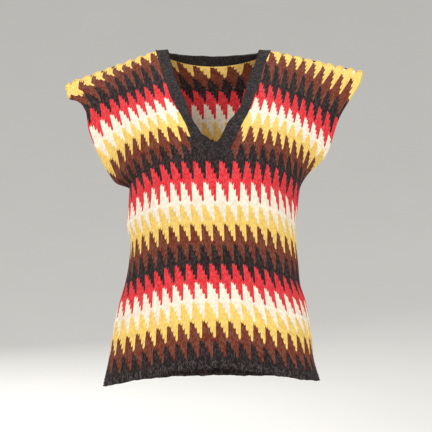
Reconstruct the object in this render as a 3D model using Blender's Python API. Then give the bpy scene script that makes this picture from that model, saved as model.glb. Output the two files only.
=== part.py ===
"""Hollow knitted pullover without sleeves, with a V neck, filled out as if it were worn.

It is three walls of cloth: a front, a back and a neckband. Neck, hem and both armholes are open.
X runs across the body, -Y is the front and +Z is up. The origin lies midway between the neck ends
of the two shoulder seams. Both side seams and both shoulder seams lie in the plane Y = 0.
"""

import math

import bmesh
import bpy
from mathutils import Vector

# Tables are in millimetres and are turned into metres as they are read.
MM = 0.001

# Cloth
WALL = 2.5 * MM
BAND_WALL = 3.0 * MM
SEAM_GAP = 0.3 * MM

# Courses are the rows of knitting. They are counted downwards from the foot of the armholes. The
# back's full courses run from armhole to armhole, and those above it bend to its top edge.
# Over ARMPIT_BLEND courses above the armpits, the way that a course falls changes.
HEM_COURSE = 126
NECK_FOOT_COURSE = -4
BACK_FULL_COURSE = -50
SHOULDER_COURSE = -86
ARMPIT_BLEND = 24

# Neck
BAND_WIDTH = 21.0 * MM
BACK_NECK_DEPTH = 54.0 * MM
BACK_NECK_DROP = 22.0 * MM
BACK_NECK_RISE = math.radians(60.0)
BAND_LEAN = 0.35

# Mesh of one half panel
COLUMNS = 22
BODY_LEVELS = 24
YOKE_LEVELS = 16
BACK_FULL_LEVELS = 10
BACK_TOP_LEVELS = 8
BACK_NECK_COLUMNS = 9
BAND_STRIPS = 3
CURVE_STEPS = 60

# The side seams up to course 0, then the armhole edges. depth is how far the front edge lies in
# front of the seam plane, and the back edge behind it. The last row lies past the shoulder.
EDGE_COLUMNS = ("course", "left_x", "left_z", "right_x", "right_z", "depth")
EDGE_ROWS = (
    (126, -184, -553, 175, -545, 0),
    (108, -173, -510, 164, -508, 0),
    (96, -168, -480, 161, -480, 0),
    (84, -163, -451, 157, -451, 0),
    (72, -155, -422, 151, -422, 0),
    (60, -146, -393, 142, -393, 0),
    (48, -140, -360, 139, -360, 0),
    (36, -137, -327, 136, -327, 0),
    (24, -144, -295, 134, -295, 0),
    (12, -141, -262, 138, -262, 0),
    (0, -137, -230, 141, -229, 0),
    (-12, -159, -219, 154, -205, 18),
    (-24, -176, -195, 172, -188, 34),
    (-36, -194, -160, 186, -170, 43),
    (-48, -205, -125, 195, -145, 46),
    (-60, -209, -98, 206, -112, 41),
    (-72, -226, -80, 226, -78, 27),
    (-80, -240, -73, 240, -56, 16),
    (-86, -243, -58, 247, -37, 0),
    (-100, -225, -79, 225, -78, -26),
)

# The front's centre line up to the foot of the V, then the height and depth of the V's two edges.
# square is the power of the rounded section: 2 is an ellipse and a higher power is squarer.
# wrap is 1 where a course runs round to the side seam and 0 where it runs straight across.
# bow is how far the middle of a course bulges. A course in the body starts to fall towards the
# side after the share late of its length, and one above the armpits falls with the power sag.
FRONT_COLUMNS = ("course", "depth", "z", "square", "wrap", "bow", "late", "sag")
FRONT_ROWS = (
    (126, 86, -523, 2.2, 1.0, 0, 0.00, 1.00),
    (96, 95, -442, 2.2, 1.0, 0, 0.00, 1.00),
    (72, 95, -380, 2.2, 1.0, 0, 0.04, 1.00),
    (60, 93, -350, 2.2, 1.0, 0, 0.08, 1.00),
    (48, 95, -317, 2.3, 1.0, 0, 0.12, 1.00),
    (36, 103, -285, 2.4, 1.0, 0, 0.16, 1.00),
    (24, 113, -254, 2.5, 1.0, 0, 0.20, 1.20),
    (12, 118, -220, 2.6, 1.0, 0, 0.24, 1.60),
    (0, 115, -186, 2.6, 1.0, 0, 0.25, 2.00),
    (-12, 105, -158, 2.5, 0.85, 4, 0.22, 2.00),
    (-24, 93, -129, 2.4, 0.65, 8, 0.16, 2.00),
    (-36, 78, -106, 2.3, 0.50, 10, 0.10, 1.80),
    (-48, 61, -82, 2.2, 0.40, 11, 0.05, 1.50),
    (-60, 42, -57, 2.2, 0.30, 10, 0.00, 1.25),
    (-72, 22, -30, 2.2, 0.20, 8, 0.00, 1.10),
    (-86, 0, -2, 2.2, 0.00, 0, 0.00, 1.00),
    (-100, -22, -30, 2.2, 0.20, -8, 0.00, 1.10),
)

# The two edges of the V, from its foot to the shoulder seams. The last row lies past the shoulder.
VEE_COLUMNS = ("course", "left_x", "right_x")
VEE_ROWS = (
    (-4, 2, 2),
    (-10, -21, 23),
    (-14, -32, 31),
    (-24, -43, 43),
    (-36, -55, 56),
    (-48, -68, 65),
    (-60, -77, 74),
    (-72, -87, 85),
    (-86, -98, 98),
    (-100, -87, 85),
)

# The back's centre line, up to its last full course and past it.
BACK_COLUMNS = FRONT_COLUMNS
BACK_ROWS = (
    (126, 92, -545, 2.2, 1.0, 0, 0.00, 1.00),
    (96, 98, -468, 2.2, 1.0, 0, 0.00, 1.00),
    (72, 94, -404, 2.2, 1.0, 0, 0.00, 1.00),
    (48, 84, -338, 2.2, 1.0, 0, 0.00, 1.00),
    (24, 86, -272, 2.2, 1.0, 0, 0.00, 1.20),
    (0, 94, -206, 2.3, 1.0, 0, 0.00, 2.00),
    (-24, 94, -142, 2.3, 0.70, 6, 0.00, 2.00),
    (-50, 82, -78, 2.2, 0.50, 9, 0.00, 2.00),
    (-60, 74, -54, 2.2, 0.50, 9, 0.00, 2.00),
)

# The largest folds, as soft troughs (below zero) and ridges, one in each row. side is -1 on the
# front and 1 on the back. x and z are a fold's middle, and tilt is its length's angle from level.
# Folds fade out within FOLD_FADE of the seam plane.
FOLD_COLUMNS = ("side", "x", "z", "tilt", "length", "width", "height")
FOLD_ROWS = (
    (-1, -112, -252, 62, 95, 13, -4.0),
    (-1, -96, -262, 58, 80, 12, 2.5),
    (-1, 116, -236, -58, 80, 12, -3.5),
    (-1, -84, -338, 12, 90, 12, -3.5),
    (-1, 92, -322, -14, 80, 12, -3.0),
    (-1, 100, -346, -8, 70, 11, 2.0),
    (-1, -104, -496, 80, 90, 15, 3.0),
    (-1, 62, -490, -84, 80, 15, -2.5),
    (1, -64, -322, 10, 120, 14, -4.0),
    (1, 70, -344, -12, 110, 13, -4.0),
    (1, -40, -366, 4, 90, 12, 3.0),
    (1, -96, -168, -52, 100, 14, -3.5),
    (1, 98, -176, 50, 95, 14, -3.5),
    (1, 84, -492, 82, 90, 16, 3.5),
    (1, -92, -498, -80, 80, 15, -3.0),
)
FOLD_FADE = 30.0 * MM
SEAM_TURN = 10.0 * MM

LENGTH_COLUMNS = ("left_x", "left_z", "right_x", "right_z", "depth", "z", "bow")

FLAME_KNIT_COLOUR = (0.62, 0.30, 0.15, 1.0)
CHARCOAL_KNIT_COLOUR = (0.042, 0.038, 0.042, 1.0)
KNIT_ROUGHNESS = 0.9


class Curve:
    """A smooth curve through the values of one column, which never swings past a row."""

    def __init__(self, columns, rows, name):
        ordered = sorted(rows)
        place = columns.index(name)
        scale = MM if name in LENGTH_COLUMNS else 1.0
        self.courses = [row[0] for row in ordered]
        self.values = [row[place] * scale for row in ordered]
        self.slopes = self._slopes()

    def _slopes(self):
        steps = [b - a for a, b in zip(self.courses, self.courses[1:])]
        rises = [(b - a) / step for a, b, step in zip(self.values, self.values[1:], steps)]
        slopes = [rises[0]]
        for before, after, left, right in zip(rises, rises[1:], steps, steps[1:]):
            if before * after <= 0.0:
                slopes.append(0.0)
            else:
                near = 2.0 * right + left
                far = right + 2.0 * left
                slopes.append((near + far) / (near / before + far / after))
        slopes.append(rises[-1])
        return slopes

    def at(self, course):
        k = 0
        while k < len(self.courses) - 2 and course > self.courses[k + 1]:
            k += 1
        step = self.courses[k + 1] - self.courses[k]
        t = (course - self.courses[k]) / step
        start = self.values[k] * (1.0 + 2.0 * t) + self.slopes[k] * step * t
        end = self.values[k + 1] * (3.0 - 2.0 * t) - self.slopes[k + 1] * step * (1.0 - t)
        return start * (1.0 - t) ** 2 + end * t ** 2


def curves(columns, rows):
    """One curve for each column of a table, by the column's name."""
    return {name: Curve(columns, rows, name) for name in columns[1:]}


EDGE = curves(EDGE_COLUMNS, EDGE_ROWS)
FRONT = curves(FRONT_COLUMNS, FRONT_ROWS)
BACK = curves(BACK_COLUMNS, BACK_ROWS)
VEE = curves(VEE_COLUMNS, VEE_ROWS)


def lerp(a, b, t):
    return a + (b - a) * t


def smooth(t):
    t = min(max(t, 0.0), 1.0)
    return t * t * (3.0 - 2.0 * t)


def side_name(side):
    return "left" if side < 0 else "right"


def front_inner(side, course):
    """The front's centre line or, above the foot of the V, one edge of the V."""
    x = 0.0
    if course < NECK_FOOT_COURSE:
        x = VEE[side_name(side) + "_x"].at(course)
    elif course < 0.0:
        x = VEE["left_x"].at(NECK_FOOT_COURSE) * course / NECK_FOOT_COURSE
    return Vector((x, -FRONT["depth"].at(course), FRONT["z"].at(course)))


def back_inner(course):
    """The back's centre line."""
    return Vector((0.0, BACK["depth"].at(course), BACK["z"].at(course)))


def outer(facing, side, course):
    """The side seam or the armhole edge. facing is -1 for the front and 1 for the back."""
    name = side_name(side)
    depth = facing * EDGE["depth"].at(course)
    return Vector((EDGE[name + "_x"].at(course), depth, EDGE[name + "_z"].at(course)))


def even_points(points, count):
    """Points at equal steps along a chain of points, with the share of its length at each."""
    reach = [0.0]
    for a, b in zip(points, points[1:]):
        reach.append(reach[-1] + (b - a).length)
    found = []
    k = 0
    for step in range(count + 1):
        target = reach[-1] * step / count
        while k < len(reach) - 2 and reach[k + 1] < target:
            k += 1
        t = (target - reach[k]) / max(reach[k + 1] - reach[k], 1e-9)
        found.append((points[k].lerp(points[k + 1], t), step / count))
    return found


def full_course(facing, side, course):
    """Points of one course of half a panel, from its middle or neck edge to its outer edge."""
    shape = FRONT if facing < 0 else BACK
    inner_point = front_inner(side, course) if facing < 0 else back_inner(course)
    outer_point = outer(facing, side, course)
    wrap = shape["wrap"].at(course)
    power = 2.0 / shape["square"].at(course)
    bow = facing * shape["bow"].at(course)
    late = shape["late"].at(course)
    plan = []
    for step in range(CURVE_STEPS + 1):
        t = step / CURVE_STEPS
        turn = t * math.pi / 2.0
        across = lerp(t, math.sin(turn) ** power, wrap)
        inward = lerp(1.0 - t, max(0.0, math.cos(turn)) ** power, wrap)
        x = lerp(inner_point.x, outer_point.x, across)
        y = lerp(outer_point.y, inner_point.y, inward) + bow * math.sin(math.pi * t)
        plan.append(Vector((x, y, 0.0)))
    body = smooth(1.0 + course / ARMPIT_BLEND)
    sag = shape["sag"].at(course)
    points = []
    for point, share in even_points(plan, COLUMNS):
        eased = smooth((share - late) / (1.0 - late))
        drop = lerp(share ** sag, eased, body)
        points.append(Vector((point.x, point.y, lerp(inner_point.z, outer_point.z, drop))))
    return points


def back_top(side):
    """The back's top edge: half of the neck edge, then the shoulder seam."""
    corner = front_inner(side, SHOULDER_COURSE)
    tip = outer(1, side, SHOULDER_COURSE)
    neck = []
    for step in range(CURVE_STEPS + 1):
        turn = step / CURVE_STEPS * math.pi / 2.0
        out = math.sin(turn)
        height = lerp(-BACK_NECK_DROP, corner.z, out ** 2)
        neck.append(Vector((corner.x * out, BACK_NECK_DEPTH * math.cos(turn), height)))
    points = [point for point, _ in even_points(neck, BACK_NECK_COLUMNS)]
    seam_columns = COLUMNS - BACK_NECK_COLUMNS
    return points + [corner.lerp(tip, k / seam_columns) for k in range(1, seam_columns + 1)]


def back_yoke(side, course):
    """Points of a course above the back's last full one, where the cloth bends to its top edge."""
    span = BACK_FULL_COURSE - SHOULDER_COURSE
    t = (BACK_FULL_COURSE - course) / span
    here = full_course(1, side, BACK_FULL_COURSE)
    below = full_course(1, side, BACK_FULL_COURSE + 1.0)
    points = []
    for column, (a, b, top) in enumerate(zip(here, below, back_top(side))):
        reach = (top - a).length
        leave = (a - b).normalized() * reach
        rise = BACK_NECK_RISE * (1.0 - smooth(column / BACK_NECK_COLUMNS))
        arrive = Vector((0.0, -math.cos(rise), math.sin(rise))) * reach
        start = a * (1.0 + 2.0 * t) + leave * t
        end = top * (3.0 - 2.0 * t) - arrive * (1.0 - t)
        points.append(start * (1.0 - t) ** 2 + end * t ** 2)
    return points


def half_course(facing, side, course):
    """Points of one level of half a panel."""
    if facing > 0 and course < BACK_FULL_COURSE:
        return back_yoke(side, course)
    return full_course(facing, side, course)


def courses(facing):
    """Courses at which a panel has a level of its mesh, from the hem up."""
    body = [lerp(HEM_COURSE, 0.0, k / BODY_LEVELS) for k in range(BODY_LEVELS)]
    if facing < 0:
        spread = [(k / YOKE_LEVELS) ** 1.1 for k in range(YOKE_LEVELS + 1)]
        return body + [0.0] + [lerp(NECK_FOOT_COURSE, SHOULDER_COURSE, t) for t in spread]
    full = [k / BACK_FULL_LEVELS for k in range(BACK_FULL_LEVELS)]
    top = [k / BACK_TOP_LEVELS for k in range(BACK_TOP_LEVELS + 1)]
    yoke = [lerp(0.0, BACK_FULL_COURSE, t) for t in full]
    return body + yoke + [lerp(BACK_FULL_COURSE, SHOULDER_COURSE, t) for t in top]


def panel_sheet(facing):
    """The middle surface of a panel: its points, its faces and each point's place in the grid."""
    foot = NECK_FOOT_COURSE if facing < 0 else SHOULDER_COURSE
    levels = courses(facing)
    points = []
    place = {}
    for level, course in enumerate(levels):
        for side in (-1, 1):
            for column, point in enumerate(half_course(facing, side, course)):
                if side > 0 and column == 0 and course >= foot:
                    place[(side, level, column)] = place[(-1, level, column)]
                    continue
                place[(side, level, column)] = len(points)
                points.append(point + Vector((0.0, facing * SEAM_GAP / 2.0, 0.0)))
    faces = []
    for level in range(len(levels) - 1):
        for side in (-1, 1):
            for column in range(COLUMNS):
                face = (
                    place[(side, level, column)],
                    place[(side, level, column + 1)],
                    place[(side, level + 1, column + 1)],
                    place[(side, level + 1, column)],
                )
                faces.append(face if side * facing < 0 else face[::-1])
    return points, faces, place


def sheet_normals(points, faces):
    """The outward direction at each point of a sheet."""
    sums = [Vector() for _ in points]
    for face in faces:
        a, b, c, d = (points[i] for i in face)
        normal = (c - a).cross(d - b)
        for i in face:
            sums[i] += normal
    return [total.normalized() for total in sums]


def level_seams(points, normals):
    """Turn the directions near the seam plane into it, so that the two walls meet squarely."""
    turned = []
    for point, normal in zip(points, normals):
        share = smooth(abs(point.y) / SEAM_TURN)
        turned.append(Vector((normal.x, normal.y * share, normal.z)).normalized())
    return turned


def fold_height(facing, point):
    """How far the folds lift the cloth at a point."""
    height = 0.0
    for side, x, z, tilt, length, width, rise in FOLD_ROWS:
        if side != facing:
            continue
        turn = math.radians(tilt)
        dx = point.x / MM - x
        dz = point.z / MM - z
        along = (dx * math.cos(turn) + dz * math.sin(turn)) / (length / 2.0)
        across = (dz * math.cos(turn) - dx * math.sin(turn)) / width
        height += rise * math.exp(-across ** 2) * smooth(1.0 - abs(along))
    return height * MM * smooth(abs(point.y) / FOLD_FADE)


def folded_panel(facing):
    """A panel's points, directions, faces and grid places, with its largest folds."""
    points, faces, place = panel_sheet(facing)
    normals = sheet_normals(points, faces)
    points = [p + n * fold_height(facing, p) for p, n in zip(points, normals)]
    normals = level_seams(points, sheet_normals(points, faces))
    return points, normals, faces, place


def neck_stations(front, back):
    """Points and directions round the neck edge, from the foot of the V up the left and round."""
    levels = courses(-1)
    vee = [level for level, course in enumerate(levels) if course <= NECK_FOOT_COURSE]
    top = len(courses(1)) - 1
    left = {}
    right = {}
    for found, side in ((left, -1), (right, 1)):
        places = [front[3][(side, level, 0)] for level in vee]
        found["front"] = [(front[0][place], front[1][place]) for place in places]
        places = [back[3][(side, top, column)] for column in range(BACK_NECK_COLUMNS + 1)]
        found["back"] = [(back[0][place], back[1][place]) for place in places]
        ends = (found["front"].pop(), found["back"].pop())
        middle = (ends[0][0] + ends[1][0]) / 2.0
        found["shoulder"] = [(middle, (ends[0][1] + ends[1][1]).normalized())]
    up = left["front"] + left["shoulder"] + left["back"][::-1]
    down = right["back"][1:] + right["shoulder"] + right["front"][:0:-1]
    return up + down


def band_sheet(stations):
    """The middle surface of the neckband and the outward direction at each of its points."""
    count = len(stations)
    inward = []
    for k, (point, normal) in enumerate(stations):
        along = stations[(k + 1) % count][0] - stations[k - 1][0]
        inward.append(along.cross(normal).normalized())
    eased = []
    for k in range(count):
        total = inward[k - 1] + inward[k] * 2.0 + inward[(k + 1) % count]
        lean = BAND_LEAN * smooth(stations[k][0].y / BACK_NECK_DEPTH)
        eased.append((total.normalized() + Vector((0.0, -lean, 0.0))).normalized())
    points = []
    for (point, _), direction in zip(stations, eased):
        for strip in range(BAND_STRIPS + 1):
            reach = SEAM_GAP + BAND_WIDTH * strip / BAND_STRIPS
            points.append(point + direction * reach)
    row = BAND_STRIPS + 1
    faces = []
    for k in range(count):
        here = k * row
        ahead = (k + 1) % count * row
        for strip in range(BAND_STRIPS):
            faces.append((here + strip, ahead + strip, ahead + strip + 1, here + strip + 1))
    normals = sheet_normals(points, faces)
    if normals[0].dot(stations[0][1]) < 0.0:
        faces = [face[::-1] for face in faces]
        normals = [-normal for normal in normals]
    for k, (_, normal) in enumerate(stations):
        normals[k * row] = normal
    return points, normals, faces


def wall_object(name, sheet, wall, material):
    """A closed wall of even thickness, with half of it on each side of a sheet."""
    points, normals, faces = sheet
    count = len(points)
    outside = [p + n * wall / 2.0 for p, n in zip(points, normals)]
    inside = [p - n * wall / 2.0 for p, n in zip(points, normals)]
    shell = list(faces)
    shell += [tuple(count + i for i in reversed(face)) for face in faces]
    sides = {(a, b) for face in faces for a, b in zip(face, face[1:] + face[:1])}
    shell += [(b, a, count + a, count + b) for a, b in sorted(sides) if (b, a) not in sides]
    mesh = bpy.data.meshes.new(name)
    mesh.from_pydata([tuple(v) for v in outside + inside], [], shell)
    mesh.materials.append(material)
    work = bmesh.new()
    work.from_mesh(mesh)
    bmesh.ops.triangulate(work, faces=work.faces, quad_method="SHORT_EDGE")
    bmesh.ops.recalc_face_normals(work, faces=work.faces)
    work.to_mesh(mesh)
    work.free()
    thing = bpy.data.objects.new(name, mesh)
    bpy.context.scene.collection.objects.link(thing)
    return thing


def knit_material(name, colour):
    material = bpy.data.materials.new(name)
    material.use_nodes = True
    shader = material.node_tree.nodes["Principled BSDF"]
    shader.inputs["Base Color"].default_value = colour
    shader.inputs["Roughness"].default_value = KNIT_ROUGHNESS
    shader.inputs["Metallic"].default_value = 0.0
    return material


def build():
    for thing in list(bpy.data.objects):
        bpy.data.objects.remove(thing, do_unlink=True)
    front = folded_panel(-1)
    back = folded_panel(1)
    band = band_sheet(neck_stations(front, back))
    flame = knit_material("flame_knit", FLAME_KNIT_COLOUR)
    charcoal = knit_material("charcoal_knit", CHARCOAL_KNIT_COLOUR)
    wall_object("front_panel", front[:3], WALL, flame)
    wall_object("back_panel", back[:3], WALL, flame)
    wall_object("neckband", band, BAND_WALL, charcoal)


build()
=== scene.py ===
"""Looks of the sleeveless knitted pullover: two panels of striped knitting and a plain neckband.

The panels follow the rows and rules of the CAD source, in metres, with some rows eased by a few
millimetres to where the photograph has the stripes. They are knitted stitch by stitch: a course
is a row of stitches, counted downwards from the armpits, and a wale is a column of stitches,
counted from the middle of a panel to its side.
"""

import math

import bpy
import numpy as np
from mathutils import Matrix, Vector

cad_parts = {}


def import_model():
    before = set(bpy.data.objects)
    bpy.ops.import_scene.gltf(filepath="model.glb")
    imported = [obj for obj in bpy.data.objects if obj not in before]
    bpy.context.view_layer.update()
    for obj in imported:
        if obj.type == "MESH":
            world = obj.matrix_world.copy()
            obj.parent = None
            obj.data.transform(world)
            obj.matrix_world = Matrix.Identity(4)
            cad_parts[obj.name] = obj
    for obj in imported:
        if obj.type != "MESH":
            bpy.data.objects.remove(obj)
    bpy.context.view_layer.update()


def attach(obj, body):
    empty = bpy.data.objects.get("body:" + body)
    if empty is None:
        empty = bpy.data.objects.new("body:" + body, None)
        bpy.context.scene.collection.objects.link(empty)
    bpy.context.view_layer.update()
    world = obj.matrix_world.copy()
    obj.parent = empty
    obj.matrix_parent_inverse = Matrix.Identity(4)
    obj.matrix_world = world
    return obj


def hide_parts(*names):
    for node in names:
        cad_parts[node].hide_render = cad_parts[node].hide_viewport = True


MM = 0.001

# Courses and wales
HEM_COURSE = 126
NECK_FOOT_COURSE = -4
BACK_FULL_COURSE = -50
SHOULDER_COURSE = -86
ARMPIT_BLEND = 24
FRONT_WALES = {-1: 54, 1: 53}
BACK_WALES = {-1: 50, 1: 50}
WALE_STEPS = 4
LEG_COURSES = 1.15

# Cloth, whose face has two legs to each wale. Its lining has fewer points than its face.
WALL = 2.5 * MM
RIB_HEIGHT = 0.45 * MM
BETWEEN_WALES = -1.0
BETWEEN_LEGS = 0.1
ON_LEG = 0.45
INNER_COLUMN_STEP = 8
INNER_LEVEL_STEP = 3

# The garter rows of the hem, in rib heights
GARTER_COURSE = 120.5
GARTER_EASE = 1.5
GARTER_RIDGE = 1.3
GARTER_WAVE = 0.9

# Dents along the seams
SEAM_DENT = 0.9 * MM
SEAM_DENT_COURSES = 3.0
SEAM_DENT_STEPS = 5.0
SEAM_TURN = 10.0 * MM

# The armhole edges roll inwards, by this many wales and radians. The left shoulder's tip curls
# round further on the front.
ROLL_WALES = 2
ROLL_TURN = 3.6
ROLL_RADIUS = 3.2 * MM
ROLL_REACH = 4.2 * MM
ROLL_COURSES = 10
CURL_COURSE = -64.0
CURL_COURSES = 12.0
CURL_MORE = 2.4 * MM

# The back's neck edge, which takes up a share of its top edge
BACK_NECK_DEPTH = 54.0 * MM
BACK_NECK_DROP = 22.0 * MM
BACK_NECK_RISE = math.radians(60.0)
BACK_NECK_SHARE = 9 / 22
CURVE_STEPS = 60

# The neckband, with a pick-up ridge outside and a cast-off edge inside. Places across it are
# shares of its width.
BAND_WIDTH = 21.0 * MM
BAND_HALF_WALL = 1.5 * MM
BAND_RIB = 0.4 * MM
BAND_LEAN = 0.35
BAND_WALES = 180
BAND_STEPS = 4
BAND_STRIPS = 18
BAND_ROWS = 8
BAND_START = -0.07
RIDGE_SPREAD = 0.06
PICK_UP_PLACE = 0.02
PICK_UP_HEIGHT = 0.8 * MM
CAST_OFF_PLACE = 0.93
CAST_OFF_HEIGHT = 0.7 * MM
CAST_OFF_THINNER = 0.55
NORMAL_SOFTENING = 30
INWARD_SOFTENING = 90

# The band's wavy edge. Columns: waves all round, start, height
BAND_WAVE_ROWS = (
    (11.0, 0.6, 0.45 * MM),
    (23.0, 2.1, 0.315 * MM),
)

# Where the band is pulled narrower, on both sides of the V's foot and then on one side
BAND_TUCK = 4.0 * MM
BAND_TUCK_REACH = 30.0 * MM

# Columns: side, place along the band from the V's foot, how far it spreads, how much narrower
BAND_EASE_ROWS = (
    (-1, 77, 30, 8.0),
    (-1, 150, 40, 2.0),
    (-1, 200, 40, 3.5),
    (1, 112, 36, 5.5),
    (1, 200, 40, 5.0),
)

# The side seams up to course 0, then the armhole edges.
EDGE_COLUMNS = ("course", "left_x", "left_z", "right_x", "right_z", "depth")
EDGE_ROWS = (
    (126, -181, -553, 174, -545, 0),
    (108, -171, -508, 163, -505, 0),
    (96, -166, -476, 160, -474, 0),
    (84, -161, -446, 156, -445, 0),
    (72, -153, -414, 150, -413, 0),
    (60, -144, -384, 141, -384, 0),
    (48, -138, -351, 138, -351, 0),
    (36, -135, -318, 135, -319, 0),
    (24, -141, -291, 133, -293, 0),
    (12, -139, -262, 137, -262, 0),
    (0, -137, -230, 141, -229, 0),
    (-12, -159, -219, 154, -205, 18),
    (-24, -176, -195, 172, -188, 34),
    (-36, -194, -160, 186, -170, 43),
    (-48, -205, -128, 195, -145, 46),
    (-60, -209, -101, 206, -112, 41),
    (-72, -226, -80, 226, -78, 27),
    (-80, -240, -72, 240, -56, 16),
    (-86, -241, -56, 248, -37, 0),
    (-100, -248, -28, 260, 2, -26),
)

# The front's centre line up to the foot of the V, then the height and depth of the V's two edges,
# and how each course bends and drops from there to its outer edge
PANEL_COLUMNS = ("course", "depth", "z", "square", "wrap", "bow", "late", "left_sag", "right_sag")
FRONT_ROWS = (
    (126, 86, -518, 2.2, 1.0, 0, 0.02, 1.00, 1.00),
    (96, 95, -440, 2.2, 1.0, 0, 0.04, 1.00, 1.00),
    (72, 95, -379, 2.2, 1.0, 0, 0.10, 1.00, 1.00),
    (60, 93, -349, 2.2, 1.0, 0, 0.16, 1.00, 1.00),
    (48, 95, -317, 2.3, 1.0, 0, 0.20, 1.00, 1.00),
    (36, 103, -285, 2.4, 1.0, 0, 0.22, 1.00, 1.00),
    (24, 113, -254, 2.5, 1.0, 0, 0.23, 1.20, 1.20),
    (12, 118, -219, 2.6, 1.0, 0, 0.26, 1.60, 1.60),
    (0, 115, -186, 2.6, 1.0, 0, 0.26, 2.40, 2.00),
    (-12, 105, -158, 2.5, 0.85, 4, 0.24, 3.20, 2.00),
    (-24, 93, -129, 2.4, 0.65, 8, 0.16, 2.20, 2.00),
    (-36, 78, -106, 2.3, 0.50, 10, 0.10, 1.70, 1.80),
    (-48, 61, -82, 2.2, 0.40, 11, 0.05, 1.50, 1.50),
    (-60, 42, -56, 2.2, 0.30, 10, 0.00, 1.35, 1.30),
    (-72, 17, -23, 2.2, 0.20, 8, 0.00, 1.40, 1.30),
    (-86, 0, -2, 2.2, 0.00, 0, 0.00, 1.00, 1.00),
    (-100, -17, 19, 2.2, 0.00, -8, 0.00, 1.00, 1.00),
)

# The two edges of the V, from its foot to the shoulder seams.
VEE_COLUMNS = ("course", "left_x", "right_x")
VEE_ROWS = (
    (-4, 2, 2),
    (-10, -21, 23),
    (-14, -32, 31),
    (-24, -43, 43),
    (-36, -55, 56),
    (-48, -68, 65),
    (-60, -77, 74),
    (-72, -88, 84),
    (-86, -94, 93),
    (-100, -100, 101),
)

# The same for the back, up to its last full course and past it
BACK_ROWS = (
    (126, 92, -545, 2.2, 1.0, 0, 0.00, 1.00, 1.00),
    (96, 98, -468, 2.2, 1.0, 0, 0.00, 1.00, 1.00),
    (72, 94, -404, 2.2, 1.0, 0, 0.00, 1.00, 1.00),
    (48, 84, -338, 2.2, 1.0, 0, 0.00, 1.00, 1.00),
    (24, 86, -272, 2.2, 1.0, 0, 0.00, 1.20, 1.20),
    (0, 94, -206, 2.3, 1.0, 0, 0.00, 2.00, 2.00),
    (-24, 94, -142, 2.3, 0.70, 6, 0.00, 2.00, 2.00),
    (-50, 82, -78, 2.2, 0.50, 9, 0.00, 2.00, 2.00),
    (-60, 74, -54, 2.2, 0.50, 9, 0.00, 2.00, 2.00),
)

# Where the front's wales start, counted from the middle, and how they spread towards each side.
# They lean to the right below the V, whose two edges take up some of them.
WALE_COLUMNS = ("course", "left_start", "right_start", "left_bow", "left_ease", "right_bow", "right_ease")
WALE_ROWS = (
    (126, 1.9, -1.9, -0.12, 0.22, 0.12, -0.06),
    (96, 1.85, -1.85, -0.13, 0.24, 0.12, -0.06),
    (84, 1.8, -1.8, -0.14, 0.26, 0.04, -0.06),
    (72, 1.6, -1.6, -0.10, 0.22, 0.00, 0.02),
    (60, 1.35, -1.35, 0.02, 0.04, 0.04, -0.02),
    (48, 0.95, -0.95, 0.02, -0.02, 0.04, -0.03),
    (36, 0.6, -0.6, -0.04, 0.06, -0.02, 0.00),
    (24, 0.15, -0.15, -0.14, 0.15, -0.09, 0.13),
    (12, 0.0, 0.0, -0.18, 0.23, -0.18, 0.28),
    (0, 0.0, 0.0, -0.04, 0.14, -0.08, 0.30),
    (-4, 0.0, 0.0, -0.02, 0.20, -0.06, 0.30),
    (-8, 3.6, 2.6, 0.00, 0.25, -0.04, 0.28),
    (-12, 6.2, 4.2, 0.00, 0.28, -0.02, 0.26),
    (-24, 7.0, 4.5, -0.08, 0.32, -0.04, 0.22),
    (-36, 8.8, 5.0, -0.08, 0.32, 0.00, 0.16),
    (-48, 10.6, 5.1, -0.08, 0.30, 0.00, 0.13),
    (-60, 11.3, 6.5, -0.04, 0.22, 0.04, 0.13),
    (-72, 12.0, 7.6, -0.10, 0.22, 0.04, 0.08),
    (-86, 13.2, 8.8, -0.22, 0.26, 0.07, 0.02),
)

# Folds, as soft troughs (below zero) and ridges. The side is -1 on the front and 1 on the back, x
# and z are a fold's middle, and its tilt is the angle of its length from level.
# Columns: side, x, z, tilt, length, width, height
FOLD_ROWS = (
    (-1, -112, -252, 62, 95, 13, -4.0),
    (-1, -96, -262, 58, 80, 12, 2.5),
    (-1, 116, -236, -58, 80, 12, -3.5),
    (-1, -84, -338, 12, 90, 12, -3.5),
    (-1, 92, -322, -14, 80, 12, -3.0),
    (-1, 100, -346, -8, 70, 11, 2.0),
    (-1, -104, -496, 80, 90, 15, 3.0),
    (-1, 62, -490, -84, 80, 15, -2.5),
    (1, -64, -322, 10, 120, 14, -4.0),
    (1, 70, -344, -12, 110, 13, -4.0),
    (1, -40, -366, 4, 90, 12, 3.0),
    (1, -96, -168, -52, 100, 14, -3.5),
    (1, 98, -176, 50, 95, 14, -3.5),
    (1, 84, -492, 82, 90, 16, 3.5),
    (1, -92, -498, -80, 80, 15, -3.0),
)
FOLD_FADE = 30.0 * MM

# Lobes of the shoulder seams, where the cloth swells between its stitches, along each seam
LOBE_START = 105.0 * MM
LOBE_LENGTH = 17.4 * MM
LOBE_HEIGHT = 4.4 * MM
LOBE_COURSES = 5.0
LOBE_SHARPNESS = 0.7
LOBE_MIDDLE = 0.55
LOBE_LEAD = 0.6

# How far the stripes are let down at the tips of the front's shoulders, from a wale outwards and
# from a course upwards. Columns: side, wale, wale ease, course, course ease, drop in courses
TIP_ROWS = (
    (-1, 51.2, 1.5, -64, 6, 6.0),
    (1, 24.0, 24.0, -58, 14, 3.0),
)

# Round the V's foot the middle wales are charcoal, which is stripe -1 of the chart. The back's
# wale numbers are shifted by whole teeth, so that this doesn't reach them.
FOOT_MIDDLE = -1.8
FOOT_WALES = 6.8
FOOT_COURSE = -16.0
FOOT_STRIPE = -1.0
BELOW_STRIPES = -100.0
BACK_WALE_SHIFT = 500.0

# The last courses are drawn into the shoulder seams, from this one up and by this share.
RIDGE_COURSE = -74.0
RIDGE_SHARE = 0.86

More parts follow.
